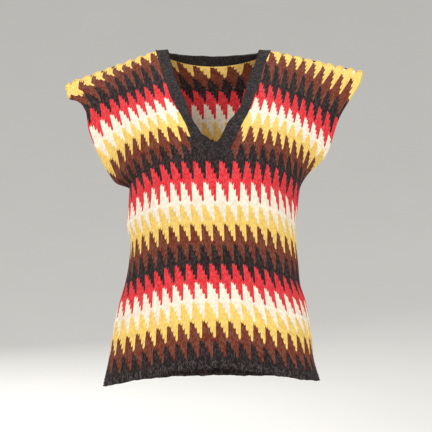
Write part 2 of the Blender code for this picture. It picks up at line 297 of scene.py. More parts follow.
# The hem's uneven edge. Columns: length of a wave in metres for each radian, rise in mm, start
HEM_WAVE_COURSES = 5.0
HEM_WAVES = (
    (0.0125, 0.5, 0.3),
    (0.0051, 0.45, 1.9),
    (0.0023, 0.4, 0.8),
)

# Columns that are lengths, which the tables give in millimetres
LENGTH_COLUMNS = ("left_x", "left_z", "right_x", "right_z", "depth", "z", "bow")

# Camera: the photograph is taken level, from 3 m in front.
CAMERA_AT = (0.004, -3.0, -0.274)
CAMERA_LENS = 151.5
CAMERA_FAR = 60.0
SENSOR = 36.0

# Stage: a flat floor that bends up all round. Its rings are the first of a quarter turn's.
FLOOR_HEIGHT = -0.95
FLOOR_COLOUR = (204, 202, 198)
FLOOR_ROUGHNESS = 0.9
FLOOR_SPOT_SCALE = 3.0
FLOOR_SPOT_DETAIL = 2.0
FLOOR_DARKEST = 0.98
FLOOR_SPREAD = 0.04
STAGE_FLAT = 1.5
STAGE_BEND = 7.5
STAGE_BEND_STEPS = 24
STAGE_RINGS = 16
STAGE_TURNS = 96

# Lamps, aimed at the middle of the garment. Columns: name, place, size, power, colour
LAMP_TARGET = (0.0, 0.0, -0.28)
LAMP_ROWS = (
    ("key", (-1.3, -2.6, 1.1), 1.6, 58.0, (1.0, 0.98, 0.95)),
    ("fill", (1.6, -2.4, 0.3), 1.8, 34.0, (0.97, 0.98, 1.0)),
    ("top", (0.2, 0.6, 2.4), 2.0, 40.0, (1.0, 1.0, 1.0)),
    ("back", (-0.8, 2.6, 0.8), 2.0, 45.0, (1.0, 1.0, 1.0)),
)
WORLD_COLOUR = (0.9, 0.9, 0.9, 1.0)
WORLD_STRENGTH = 0.85

# The chart: each stripe's top edge climbs by steps to a peak, one peak in every five wales, and
# the peaks move one wale to the left from each stripe to the next.
STRIPE_COURSES = 12
PEAK_WALE = 2.0
STEPS = 5.0
STEP_COURSES = 3.0
STEP_START = -2.0
LAST_STRIPE = 9.0

# Stripes, from the armpits down, in sRGB out of 255
STRIPES = (
    (225, 61, 68),
    (252, 238, 217),
    (249, 209, 114),
    (118, 62, 43),
    (48, 32, 32),
)
BAND_COLOUR = (45, 33, 34)
GAMMA = 2.2

# Wool. The stripes' edges are frayed by parts of a course and of a wale. Painted shade darkens
# the colour where the strands dip between legs and courses; stitches and wear vary the tone at random.
# Each goes from its darkest up by a spread, and flecks make the colour a little lighter or darker.
FRAY_SCALE = 1.7
FRAY_DETAIL = 1.0
FRAY_COURSES = 1.5
FRAY_WALES = 0.16
STRAND_SWELL = 0.6
LEG_SWELL = 0.7
PAINTED_GROOVE_SHADE_DARKEST = 0.62
PAINTED_GROOVE_SHADE_SPREAD = 0.5
STITCH_DARKEST = 0.87
STITCH_SPREAD = 0.26
WEAR_SCALE = 14.0
WEAR_DETAIL = 4.0
WEAR_DARKEST = 0.95
WEAR_SPREAD = 0.12
FLECK = 0.06
HEM_FLECK = 0.05
FLECK_DARKEST = 0.008
FUZZ_SCALE = 900.0
FUZZ_DETAIL = 2.0
FUZZ_SHARE = 0.25
BUMP_STRENGTH = 0.8
BUMP_DISTANCE = 0.8 * MM
WOOL_ROUGHNESS = 0.92
WOOL_SPECULAR = 0.14
WOOL_SHEEN = 0.05
WOOL_SHEEN_ROUGHNESS = 0.6


def linear(rgb):
    """A colour in linear light from sRGB out of 255."""
    return tuple((c / 255.0) ** GAMMA for c in rgb) + (1.0,)


class Curve:
    """A smooth curve through the values of one column, which never swings past a row."""

    def __init__(self, columns, rows, name):
        ordered = sorted(rows)
        place = columns.index(name)
        scale = MM if name in LENGTH_COLUMNS else 1.0
        self.courses = np.array([row[0] for row in ordered], float)
        self.values = np.array([row[place] * scale for row in ordered])
        steps = np.diff(self.courses)
        rises = np.diff(self.values) / steps
        slopes = [rises[0]]
        for before, after, left, right in zip(rises, rises[1:], steps, steps[1:]):
            if before * after <= 0.0:
                slopes.append(0.0)
            else:
                near = 2.0 * right + left
                far = right + 2.0 * left
                slopes.append((near + far) / (near / before + far / after))
        slopes.append(rises[-1])
        self.slopes = np.array(slopes)

    def at(self, course):
        last = len(self.courses) - 2
        k = int(np.clip(np.searchsorted(self.courses, course) - 1, 0, last))
        step = self.courses[k + 1] - self.courses[k]
        t = (course - self.courses[k]) / step
        start = self.values[k] * (1.0 + 2.0 * t) + self.slopes[k] * step * t
        end = self.values[k + 1] * (3.0 - 2.0 * t) - self.slopes[k + 1] * step * (1.0 - t)
        return float(start * (1.0 - t) ** 2 + end * t ** 2)


def curves(columns, rows):
    """One curve for each column of a table, by the column's name."""
    return {name: Curve(columns, rows, name) for name in columns[1:]}


EDGE = curves(EDGE_COLUMNS, EDGE_ROWS)
FRONT = curves(PANEL_COLUMNS, FRONT_ROWS)
BACK = curves(PANEL_COLUMNS, BACK_ROWS)
VEE = curves(VEE_COLUMNS, VEE_ROWS)
WALE = curves(WALE_COLUMNS, WALE_ROWS)


def lerp(a, b, t):
    """The value a share t of the way from a to b."""
    return a + (b - a) * t


def smooth(t):
    """A soft step from 0 to 1."""
    t = np.clip(t, 0.0, 1.0)
    return t * t * (3.0 - 2.0 * t)


def bell(t):
    """A soft hump, 1 in its middle."""
    return np.exp(-t ** 2)


def unit(vectors):
    """Vectors of length 1 in the same directions."""
    return vectors / np.maximum(np.linalg.norm(vectors, axis=-1, keepdims=True), 1e-12)


def side_name(side):
    """A side's name in the tables. Left is -1 and right is 1, as seen from the front."""
    return "left" if side < 0 else "right"


def front_inner(side, course):
    """The front's centre line or, above the foot of the V, one edge of the V."""
    x = 0.0
    if course < NECK_FOOT_COURSE:
        x = VEE[side_name(side) + "_x"].at(course)
    elif course < 0.0:
        x = VEE["left_x"].at(NECK_FOOT_COURSE) * course / NECK_FOOT_COURSE
    return np.array((x, -FRONT["depth"].at(course), FRONT["z"].at(course)))


def back_inner(course):
    """The back's centre line."""
    return np.array((0.0, BACK["depth"].at(course), BACK["z"].at(course)))


def outer(facing, side, course):
    """The side seam or the armhole edge. facing is -1 for the front and 1 for the back."""
    name = side_name(side)
    depth = facing * EDGE["depth"].at(course)
    return np.array((EDGE[name + "_x"].at(course), depth, EDGE[name + "_z"].at(course)))


def wale_shares(facing, side, course):
    """How far along a course each step of a wale lies, as a share, and the first step on it."""
    wales = (FRONT_WALES if facing < 0 else BACK_WALES)[side]
    steps = np.arange(wales * WALE_STEPS + 1) / WALE_STEPS
    if facing > 0:
        return steps / wales, 0
    name = side_name(side)
    start = WALE[name + "_start"].at(course)
    t = (steps - start) / (wales - start)
    first = 0
    if course < NECK_FOOT_COURSE:
        t = np.maximum(t, 0.0)
        first = int(math.floor(start * WALE_STEPS + 1e-6))
    bow = WALE[name + "_bow"].at(course)
    ease = WALE[name + "_ease"].at(course)
    return t + t * (1.0 - np.abs(t)) * (bow + ease * (1.0 - 2.0 * np.abs(t))), first


def roll_strength(course):
    """How far an armhole edge rolls: not at all at the armpit, then fully."""
    return float(smooth(-course / ROLL_COURSES))


def full_course(facing, side, course, shares=None):
    """Points of one course of half a panel, from its middle or neck edge to its outer edge."""
    shape = FRONT if facing < 0 else BACK
    inner_point = front_inner(side, course) if facing < 0 else back_inner(course)
    outer_point = outer(facing, side, course)
    wrap = shape["wrap"].at(course)
    power = 2.0 / shape["square"].at(course)
    bow = facing * shape["bow"].at(course)
    late = shape["late"].at(course)
    t = np.linspace(0.0, 1.0, CURVE_STEPS + 1)
    turn = t * math.pi / 2.0
    across = lerp(t, np.sin(turn) ** power, wrap)
    inward = lerp(1.0 - t, np.maximum(0.0, np.cos(turn)) ** power, wrap)
    x = lerp(inner_point[0], outer_point[0], across)
    y = lerp(outer_point[1], inner_point[1], inward) + bow * np.sin(math.pi * t)
    reach = np.concatenate(([0.0], np.cumsum(np.hypot(np.diff(x), np.diff(y)))))
    first = 0
    if shares is None:
        shares, first = wale_shares(facing, side, course)
    before = shares < 0.0
    shares = np.abs(shares)
    place = shares * (reach[-1] - ROLL_REACH * roll_strength(course))
    body = smooth(1.0 + course / ARMPIT_BLEND)
    sag = shape[side_name(side) + "_sag"].at(course)
    eased = smooth((shares - late) / (1.0 - late))
    drop = lerp(shares ** sag, eased, body)
    z = lerp(inner_point[2], outer_point[2], drop)
    out = np.interp(place, reach, x)
    out = np.where(before, 2.0 * inner_point[0] - out, out)
    return np.stack((out, np.interp(place, reach, y), z), 1), first


def back_top(side, shares):
    """The back's top edge: half of the neck edge, then the shoulder seam."""
    corner = front_inner(side, SHOULDER_COURSE)
    tip = outer(1, side, SHOULDER_COURSE)
    tip = tip + unit(corner - tip) * ROLL_REACH
    turn = np.linspace(0.0, 1.0, CURVE_STEPS + 1) * math.pi / 2.0
    out = np.sin(turn)
    neck = np.stack((
        corner[0] * out,
        BACK_NECK_DEPTH * np.cos(turn),
        lerp(-BACK_NECK_DROP, corner[2], out ** 2),
    ), 1)
    steps = np.linalg.norm(np.diff(neck, axis=0), axis=1)
    reach = np.concatenate(([0.0], np.cumsum(steps)))
    split = BACK_NECK_SHARE
    along = np.clip(shares / split, 0.0, 1.0) * reach[-1]
    on_neck = np.stack([np.interp(along, reach, neck[:, axis]) for axis in range(3)], 1)
    on_seam = corner + (tip - corner) * ((shares - split) / (1.0 - split))[:, None]
    return np.where((shares < split)[:, None], on_neck, on_seam)


def back_yoke(side, course, shares):
    """Points of a course above the back's last full one, where the cloth bends to its top edge."""
    t = (BACK_FULL_COURSE - course) / (BACK_FULL_COURSE - SHOULDER_COURSE)
    here = full_course(1, side, BACK_FULL_COURSE, shares)[0]
    below = full_course(1, side, BACK_FULL_COURSE + 1.0, shares)[0]
    top = back_top(side, shares)
    reach = np.linalg.norm(top - here, axis=1, keepdims=True)
    leave = unit(here - below) * reach
    rise = BACK_NECK_RISE * (1.0 - smooth(shares / BACK_NECK_SHARE))
    arrive = np.stack((np.zeros_like(rise), -np.cos(rise), np.sin(rise)), 1) * reach
    start = here * (1.0 + 2.0 * t) + leave * t
    end = top * (3.0 - 2.0 * t) - arrive * (1.0 - t)
    return start * (1.0 - t) ** 2 + end * t ** 2


def half_course(facing, side, course):
    """Points of one level of half a panel, one for each step of a wale, and the first on it."""
    if facing > 0 and course < BACK_FULL_COURSE:
        wales = BACK_WALES[side]
        return back_yoke(side, course, np.arange(wales * WALE_STEPS + 1) / WALE_STEPS / wales), 0
    return full_course(facing, side, course)


def fold_height(facing, points):
    """How far the folds lift the cloth at each point."""
    height = np.zeros(len(points))
    for side, x, z, tilt, length, width, rise in FOLD_ROWS:
        if side != facing:
            continue
        turn = math.radians(tilt)
        dx = points[:, 0] / MM - x
        dz = points[:, 2] / MM - z
        along = (dx * math.cos(turn) + dz * math.sin(turn)) / (length / 2.0)
        across = (dz * math.cos(turn) - dx * math.sin(turn)) / width
        height += rise * bell(across) * smooth(1.0 - np.abs(along))
    return height * MM * smooth(np.abs(points[:, 1]) / FOLD_FADE)


def hem_wave(course, x):
    """How far the hem's uneven edge rises or falls at a place x from the middle."""
    near = smooth((course - HEM_COURSE + HEM_WAVE_COURSES) / HEM_WAVE_COURSES)
    wave = sum(rise * np.sin(x / length + start) for length, rise, start in HEM_WAVES)
    return near * wave * MM


def lobe_height(course, x):
    """How far the lobes of a shoulder seam lift the cloth at a place x from the middle."""
    count = (np.abs(x) - LOBE_START) / LOBE_LENGTH
    lobe = np.abs(np.cos(count * math.pi)) ** LOBE_SHARPNESS
    near = smooth(1.0 - (course - SHOULDER_COURSE) / LOBE_COURSES)
    return LOBE_HEIGHT * (lobe - LOBE_MIDDLE) * near * smooth(count + LOBE_LEAD)


class Grid:
    """The points of one panel, level by level from the hem up, and the places that share a point."""

    def __init__(self, facing):
        self.facing = facing
        self.levels = np.arange(HEM_COURSE, SHOULDER_COURSE - 1, -1).astype(float)
        self.wales = FRONT_WALES if facing < 0 else BACK_WALES
        self.roll = ROLL_WALES * WALE_STEPS
        self.foot = NECK_FOOT_COURSE if facing < 0 else SHOULDER_COURSE
        self.points = {}
        self.first = {}
        for side in (-1, 1):
            rows = [half_course(facing, side, course) for course in self.levels]
            self.points[side] = np.array([row[0] for row in rows])
            self.first[side] = np.array([row[1] for row in rows])
        self.width = max(self.wales.values()) * WALE_STEPS + self.roll + 1

    def columns(self, side):
        """How many steps of a wale one half has, without its roll."""
        return self.wales[side] * WALE_STEPS + 1

    def key(self, side, level, column):
        """The same number for every place that shares a point."""
        edge = self.columns(side) - 1
        last = np.where(self.levels[level] < 0.0, edge + self.roll, edge)
        column = np.minimum(np.maximum(column, self.first[side][level]), last)
        number = (level * self.width + column) * 2 + (side > 0)
        shared = (column == 0) & (self.levels[level] >= self.foot)
        return np.where(shared, (level * self.width) * 2, number)


def sums_of_faces(points, quads):
    """The direction of each point of a sheet, from the faces round it."""
    a, b, c, d = (points[quads[:, k]] for k in range(4))
    normal = np.cross(c - a, d - b)
    total = np.zeros_like(points)
    for k in range(4):
        np.add.at(total, quads[:, k], normal)
    return unit(total)


def level_seams(points, normals):
    """Turn the directions near the seam plane into it, so that the two walls meet squarely."""
    share = smooth(np.abs(points[:, 1]) / SEAM_TURN)
    turned = normals.copy()
    turned[:, 1] *= share
    return unit(turned)


class Sheet:
    """A panel's middle surface on some of the grid's levels and columns."""

    def __init__(self, grid, level_picks, column_picks):
        self.grid = grid
        self.level_picks = level_picks
        self.column_picks = column_picks
        self.index = {}
        keys = {}
        for side in (-1, 1):
            level, column = np.meshgrid(level_picks, column_picks[side], indexing="ij")
            keys[side] = grid.key(side, level, column)
        both = np.concatenate((keys[-1].ravel(), keys[1].ravel()))
        found, first, inverse = np.unique(both, return_index=True, return_inverse=True)
        split = keys[-1].size
        self.index[-1] = inverse[:split].reshape(keys[-1].shape)
        self.index[1] = inverse[split:].reshape(keys[1].shape)
        self.count = len(found)
        self.level = found // 2 // grid.width
        self.column = found // 2 % grid.width
        self.side = np.where(found % 2 == 1, 1, -1)
        quads = []
        for side in (-1, 1):
            i = self.index[side]
            corners = (i[:-1, :-1], i[:-1, 1:], i[1:, 1:], i[1:, :-1])
            faces = np.stack([c.ravel() for c in corners], 1)
            quads.append(faces if side * grid.facing < 0 else faces[:, ::-1])
        self.quads = np.concatenate(quads)

    def faces(self):
        """The faces as tuples, without the ones that have shrunk to a line."""
        found = []
        for face in self.quads.tolist():
            ring = [v for k, v in enumerate(face) if v != face[k - 1]]
            if len(ring) > 2:
                found.append(tuple(ring))
        return found


def roll_radius(facing, side, course):
    """The radius of an armhole edge's roll."""
    if facing < 0 and side < 0:
        return ROLL_RADIUS + CURL_MORE * float(smooth((CURL_COURSE - course) / CURL_COURSES))
    return ROLL_RADIUS


def roll_edges(grid, sheet, points, normals):
    """Roll the columns past the armhole edges inwards, in place."""
    for side in (-1, 1):
        edge = grid.columns(side) - 1
        index = sheet.index[side]
        rim = int(np.flatnonzero(sheet.column_picks[side] == edge)[0])
        for row, level in enumerate(sheet.level_picks):
            course = grid.levels[level]
            if course >= 0.0:
                continue
            at = index[row, rim]
            back = points[at] - points[index[row, rim - 1]]
            normal = normals[at]
            away = unit(back - normal * np.dot(back, normal))
            whole = ROLL_TURN * roll_strength(course)
            radius = roll_radius(grid.facing, side, course)
            for place in range(rim + 1, index.shape[1]):
                turn = (sheet.column_picks[side][place] - edge) / grid.roll * whole
                shift = away * math.sin(turn) - normal * (1.0 - math.cos(turn))
                here = index[row, place]
                points[here] = points[at] + shift * radius
                normals[here] = normal * math.cos(turn) + away * math.sin(turn)


def panel_surface(grid, sheet):
    """Points and directions of the folded middle surface, rolled inwards at the armholes."""
    points = np.zeros((sheet.count, 3))
    for side in (-1, 1):
        mine = sheet.side == side
        column = np.minimum(sheet.column[mine], grid.columns(side) - 1)
        points[mine] = grid.points[side][sheet.level[mine], column]
    normals = sums_of_faces(points, sheet.quads)
    points = points + normals * fold_height(grid.facing, points)[:, None]
    courses = grid.levels[sheet.level]
    points[:, 2] += lobe_height(courses, points[:, 0]) + hem_wave(courses, points[:, 0])
    normals = level_seams(points, sums_of_faces(points, sheet.quads))
    roll_edges(grid, sheet, points, normals)
    return points, normals


def leg_height(part):
    """Height of the cloth's face at a place between one wale and the next, as a share."""
    return np.where(part == 0.0, BETWEEN_WALES, np.where(part == 0.5, BETWEEN_LEGS, ON_LEG))


def rib_height(sheet, grid):
    """Height of the cloth's face: two legs to each wale, ridges at the hem and dents at seams."""
    wale = sheet.column / WALE_STEPS
    course = grid.levels[sheet.level]
    hem = smooth((course - GARTER_COURSE) / GARTER_EASE)
    ridge = np.where(sheet.level % 2 == 0, GARTER_RIDGE, -GARTER_RIDGE)
    row = ridge + GARTER_WAVE * np.cos(wale * math.pi)
    height = RIB_HEIGHT * lerp(leg_height(wale - np.floor(wale)), row, hem)
    near_top = smooth((course - SHOULDER_COURSE) / SEAM_DENT_COURSES)
    height -= SEAM_DENT * (1.0 - near_top)
    edge = np.where(sheet.side < 0, grid.columns(-1) - 1, grid.columns(1) - 1)
    near_side = smooth((edge - sheet.column) / SEAM_DENT_STEPS)
    height -= np.where(course >= 0.0, SEAM_DENT * (1.0 - near_side), 0.0)
    return height


def boundary(sheet, side):
    """The four edges of a panel's half, as rows of point numbers."""
    i = sheet.index[side]
    return {"hem": i[0], "top": i[-1], "outer": i[:, -1], "inner": i[:, 0]}


def rim_faces(dense, coarse, dense_at, coarse_at, shift, turned):
    """Faces that close a wall between a dense edge of its face and a coarse edge of its lining."""
    found = []
    for k in range(len(coarse) - 1):
        a = int(np.flatnonzero(dense_at == coarse_at[k])[0])
        b = int(np.flatnonzero(dense_at == coarse_at[k + 1])[0])
        ring = list(dense[a:b + 1]) + [coarse[k + 1] + shift, coarse[k] + shift]
        ring = [int(v) for j, v in enumerate(ring) if v != ring[j - 1]]
        if len(set(ring)) > 2:
            found.append(tuple(ring[::-1] if turned else ring))
    return found


def picks(last, step, *also):
    """Every so many of the numbers up to the last, with the last and some others."""
    return np.unique(np.concatenate((np.arange(0, last + 1, step), [last], also))).astype(int)


def wale_numbers(sheet):
    """The wale of each point, for the stripes. Wales count from left to right."""
    wale = sheet.column / WALE_STEPS
    return np.where(sheet.side < 0, -wale, wale)


def tip_drop(wales, rows):
    """How far the stripes are let down at each place of the front."""
    drop = np.zeros(len(wales))
    for side, wale, wale_ease, course, course_ease, most in TIP_ROWS:
        outward = smooth((side * wales - wale) / wale_ease)
        drop += most * outward * smooth((course - rows) / course_ease)
    return drop


def stripe_places(grid, sheets):
    """The wale and the course of each point of the sheets, as the stripes count them."""
    wales = np.concatenate([wale_numbers(sheet) for sheet in sheets])
    rows = np.concatenate([grid.levels[sheet.level] for sheet in sheets])
    rows = np.where(rows < RIDGE_COURSE, lerp(RIDGE_COURSE, rows, RIDGE_SHARE), rows)
    if grid.facing < 0:
        return wales, rows - tip_drop(wales, rows)
    return wales + BACK_WALE_SHIFT, rows


def closing_faces(grid, face, lining):
    """Faces that join a panel's face to its lining, round its edges and along the V."""
    found = []
    shift = face.count
    levels = face.level_picks
    inner_levels = lining.level_picks
    foot = int(np.flatnonzero(grid.levels == grid.foot)[0])
    above = inner_levels >= foot
    for side in (-1, 1):
        fine = boundary(face, side)
        plain = boundary(lining, side)
        turned = side * grid.facing < 0
        columns = face.column_picks[side]
        picked = lining.column_picks[side]
        found += rim_faces(fine["hem"], plain["hem"], columns, picked, shift, turned)
        found += rim_faces(fine["top"], plain["top"], columns, picked, shift, not turned)
        found += rim_faces(fine["outer"], plain["outer"], levels, inner_levels, shift, turned)
        if grid.facing < 0:
            inner = fine["inner"][foot:]
            plain_inner = plain["inner"][above]
            picked = inner_levels[above]
            found += rim_faces(inner, plain_inner, levels[foot:], picked, shift, not turned)
    return found


def knit_panel(name, facing, materials):
    """One closed panel of knitting, with a fine face and a plainer lining."""
    grid = Grid(facing)
    levels = np.arange(len(grid.levels))
    columns = {s: np.arange(grid.columns(s) + grid.roll) for s in (-1, 1)}
    face = Sheet(grid, levels, columns)
    foot = int(np.flatnonzero(grid.levels == grid.foot)[0])
    inner_levels = picks(len(levels) - 1, INNER_LEVEL_STEP, foot)
    inner_columns = {
        s: picks(grid.columns(s) - 1 + grid.roll, INNER_COLUMN_STEP, grid.columns(s) - 1)
        for s in (-1, 1)
    }
    lining = Sheet(grid, inner_levels, inner_columns)
    points, normals = panel_surface(grid, face)
    outside = points + normals * (WALL / 2.0 + rib_height(face, grid))[:, None]
    points, normals = panel_surface(grid, lining)
    inside = points - normals * (WALL / 2.0)
    faces = face.faces()
    first_inside = len(faces)
    faces += [tuple(face.count + v for v in reversed(f)) for f in lining.faces()]
    last_inside = len(faces)
    faces += closing_faces(grid, face, lining)
    mesh = bpy.data.meshes.new(name)
    mesh.from_pydata(np.concatenate((outside, inside)).tolist(), [], faces)
    kinds = np.zeros(len(faces), int)
    kinds[first_inside:last_inside] = 1
    mesh.polygons.foreach_set("material_index", kinds)
    for material in materials:
        mesh.materials.append(material)
    add_uv(mesh, "knit", *stripe_places(grid, (face, lining)))
    mesh.shade_smooth()
    return add_object(name, mesh)


def add_object(name, data):
    """A new object in the scene."""
    thing = bpy.data.objects.new(name, data)
    bpy.context.scene.collection.objects.link(thing)
    return thing


def add_uv(mesh, name, u, v):
    """A UV map from one pair of numbers for each vertex."""
    layer = mesh.uv_layers.new(name=name)
    corner = np.zeros(len(mesh.loops), int)
    mesh.loops.foreach_get("vertex_index", corner)
    layer.data.foreach_set("uv", np.stack((u[corner], v[corner]), 1).ravel())


class Nodes:
    """Short ways to add and link the nodes of a material."""

    def __init__(self, name):
        self.material = bpy.data.materials.new(name)
        self.material.use_nodes = True
        self.tree = self.material.node_tree
        self.shader = self.tree.nodes["Principled BSDF"]

    def add(self, kind, **settings):
        node = self.tree.nodes.new(kind)
        for key, value in settings.items():
            setattr(node, key, value)
        return node

    def put(self, socket, value):
        """Link a socket, or set its value."""
        if isinstance(value, bpy.types.NodeSocket):
            self.tree.links.new(value, socket)
        elif value is not None:
            socket.default_value = value

    def fill(self, node, values):
        """Put values into a node's inputs, by their names or numbers."""
        for key, value in values.items():
            self.put(node.inputs[key], value)

    def math(self, operation, a, b=None, c=None):
        node = self.add("ShaderNodeMath", operation=operation)
        for socket, value in zip(node.inputs, (a, b, c)):
            self.put(socket, value)
        return node.outputs[0]

    def vector(self, operation, a, values):
        node = self.add("ShaderNodeVectorMath", operation=operation)
        self.put(node.inputs[0], a)
        self.fill(node, values)
        return node.outputs[0]

    def pair(self, a, b):
        """A vector of two numbers."""
        node = self.add("ShaderNodeCombineXYZ")
        self.fill(node, {0: a, 1: b})
        return node.outputs[0]

    def noise(self, place, scale, detail):
        node = self.add("ShaderNodeTexNoise")
        self.fill(node, {"Vector": place, "Scale": scale, "Detail": detail})
        return node.outputs["Fac"]

    def chance(self, a, b):
        """A number between 0 and 1 for each pair of whole numbers."""
        node = self.add("ShaderNodeTexWhiteNoise", noise_dimensions="2D")
        self.put(node.inputs["Vector"], self.pair(a, b))
        return node.outputs["Value"]

    def object_place(self):
        return self.add("ShaderNodeTexCoord").outputs["Object"]


def stitch_places(n):
    """The knitting's own coordinates: wale, course, and course along the stitches' legs."""
    uv = n.add("ShaderNodeUVMap", uv_map="knit")
    split = n.add("ShaderNodeSeparateXYZ")
    n.put(split.inputs[0], uv.outputs[0])
    wale, course = split.outputs[0], split.outputs[1]
    half = n.math("PINGPONG", wale, 0.5)
    along = n.math("MULTIPLY_ADD", half, -2.0 * LEG_COURSES, course)
    return wale, course, along


def stripe_number(n, wale, course, column, row):
    """The number of the stripe that a stitch belongs to, from 0 for the first colour."""
    band = n.math("FLOOR", n.math("DIVIDE", n.math("ADD", row, 0.5), STRIPE_COURSES))
    height = n.math("MULTIPLY_ADD", band, -STRIPE_COURSES, row)
    moved = n.math("SUBTRACT", n.math("ADD", column, band), PEAK_WALE)
    place = n.math("FLOORED_MODULO", moved, STEPS)
    drop = n.math("MULTIPLY_ADD", place, STEP_COURSES, STEP_START)
    above = n.math("LESS_THAN", height, n.math("SUBTRACT", drop, 0.5))
    stripe = n.math("MINIMUM", n.math("SUBTRACT", band, above), LAST_STRIPE)
    near_foot = n.math("ABSOLUTE", n.math("SUBTRACT", wale, FOOT_MIDDLE))
    near_foot = n.math("LESS_THAN", near_foot, FOOT_WALES)
    near_foot = n.math("MULTIPLY", near_foot, n.math("GREATER_THAN", course, FOOT_COURSE))
    rise = FOOT_STRIPE - BELOW_STRIPES
    least = n.math("MULTIPLY_ADD", near_foot, rise, BELOW_STRIPES)
    return n.math("FLOORED_MODULO", n.math("MAXIMUM", stripe, least), float(len(STRIPES)))


def stripe_colour(n, stripe):
    """The colour of a stripe by its number."""
    ramp = n.add("ShaderNodeValToRGB")
    ramp.color_ramp.interpolation = "CONSTANT"
    elements = ramp.color_ramp.elements
    while len(elements) < len(STRIPES):
        elements.new(0.5)
    share = 1.0 / len(STRIPES)
    for k, (element, colour) in enumerate(zip(elements, STRIPES)):
        element.position = share * k
        element.color = linear(colour)
    n.put(ramp.inputs[0], n.math("MULTIPLY_ADD", stripe, share, share / 2.0))
    return ramp.outputs[0]


def flame_knit(name, inside):
    """The striped knitting of the panels."""
    n = Nodes(name)
    wale, course, along = stitch_places(n)
    uneven = n.noise(n.pair(wale, course), FRAY_SCALE, FRAY_DETAIL)
    fray = n.math("MULTIPLY_ADD", uneven, FRAY_COURSES, -FRAY_COURSES / 2.0)
    column = n.math("FLOOR", n.math("MULTIPLY_ADD", fray, FRAY_WALES, wale))
    row = n.math("FLOOR", n.math("ADD", along, fray))
    colour = stripe_colour(n, stripe_number(n, wale, course, column, row))
    finish_knit(n, colour, n.chance(column, row), wale, course, along, inside)
    return n.material


def band_knit(name):
    """The plain knitting of the neckband."""
    n = Nodes(name)
    wale, course, along = stitch_places(n)
    chance = n.chance(n.math("FLOOR", wale), n.math("FLOOR", along))
    finish_knit(n, linear(BAND_COLOUR)[:3], chance, wale, course, along, False)
    return n.material


def finish_knit(n, colour, chance, wale, course, along, inside):
    """Painted shade where the strands dip, a random tone for each stitch, the strands' shape as bump, and
    soft wool.
    """
    swell = n.math("SINE", n.math("MULTIPLY", n.math("FRACT", along), math.pi))
    strand = n.math("POWER", swell, STRAND_SWELL)
    if not inside:
        leg = n.math("MULTIPLY", n.math("PINGPONG", wale, 0.25), 4.0)
        strand = n.math("MULTIPLY", strand, n.math("POWER", leg, LEG_SWELL))
    place = n.object_place()
    wear = n.noise(place, WEAR_SCALE, WEAR_DETAIL)
    # Painted shade: the colour is darkest where the strands dip, in the grooves between legs and between
    # courses. The stitch chance and the wear then vary it at random.
    shade = n.math("MULTIPLY_ADD", strand, PAINTED_GROOVE_SHADE_SPREAD, PAINTED_GROOVE_SHADE_DARKEST)
    for part, spread, darkest in (
        (chance, STITCH_SPREAD, STITCH_DARKEST),
        (wear, WEAR_SPREAD, WEAR_DARKEST),
    ):
        shade = n.math("MULTIPLY", shade, n.math("MULTIPLY_ADD", part, spread, darkest))
    shaded = n.vector("SCALE", colour, {"Scale": shade})
    leg_number = n.math("FLOOR", n.math("MULTIPLY", wale, 2.0))
    fleck = n.math("SUBTRACT", n.chance(leg_number, n.math("FLOOR", along)), 0.5)
    at_hem = n.math("GREATER_THAN", course, GARTER_COURSE)
    fleck = n.math("MULTIPLY", fleck, n.math("MULTIPLY_ADD", at_hem, HEM_FLECK, FLECK))
    flecked = n.vector("ADD", shaded, {1: fleck})
    fuzz = n.math("MULTIPLY", n.noise(place, FUZZ_SCALE, FUZZ_DETAIL), FUZZ_SHARE)
    bump = n.add("ShaderNodeBump")
    n.fill(bump, {
        "Strength": BUMP_STRENGTH,
        "Distance": BUMP_DISTANCE,
        "Height": n.math("ADD", strand, fuzz),
    })
    n.fill(n.shader, {
        "Base Color": n.vector("MAXIMUM", flecked, {1: (FLECK_DARKEST,) * 3}),
        "Normal": bump.outputs[0],
        "Roughness": WOOL_ROUGHNESS,
        "Specular IOR Level": WOOL_SPECULAR,
        "Sheen Weight": WOOL_SHEEN,
        "Sheen Roughness": WOOL_SHEEN_ROUGHNESS,
    })


def neck_loop(front, back):
    """Points and directions round the neck edge, from the foot of the V up the left and round."""
    ring = []
    for side in (-1, 1):
        index = front[0].index[side]
        foot = int(np.flatnonzero(front[0].grid.levels == NECK_FOOT_COURSE)[0])
        edge = index[foot:, 0]
        top = back[0].index[side][-1]
        corner = int(round(BACK_WALES[side] * WALE_STEPS * BACK_NECK_SHARE))
        rear = top[:corner + 1][::-1]
        places = np.concatenate((front[1][edge[:-1]], back[1][rear]))
        turns = np.concatenate((front[2][edge[:-1]], back[2][rear]))
        ring.append((places, turns))
    left, right = ring
    places = np.concatenate((left[0], right[0][::-1][1:-1]))
    turns = np.concatenate((left[1], right[1][::-1][1:-1]))
    return places, turns


def resampled(places, turns, count):
    """Even stations round a closed loop."""
    closed = np.concatenate((places, places[:1]))
    normals = np.concatenate((turns, turns[:1]))
    reach = np.concatenate(([0.0], np.cumsum(np.linalg.norm(np.diff(closed, axis=0), axis=1))))
    at = np.linspace(0.0, reach[-1], count, endpoint=False)
    points = np.stack([np.interp(at, reach, closed[:, k]) for k in range(3)], 1)
    facing = np.stack([np.interp(at, reach, normals[:, k]) for k in range(3)], 1)
    return points, unit(facing), reach[-1]


def softened(values, times):
    """Values round a closed loop, each eased towards its neighbours."""
    for _ in range(times):
        values = (np.roll(values, 1, 0) + values * 2.0 + np.roll(values, -1, 0)) / 4.0
    return values


def band_tuck(from_foot, side):
    """How much narrower the band is at each station than its full width."""
    tuck = BAND_TUCK * bell(from_foot / BAND_TUCK_REACH)
    for its_side, place, spread, narrower in BAND_EASE_ROWS:
        tuck += (side == its_side) * narrower * MM * bell((from_foot / MM - place) / spread)
    return tuck


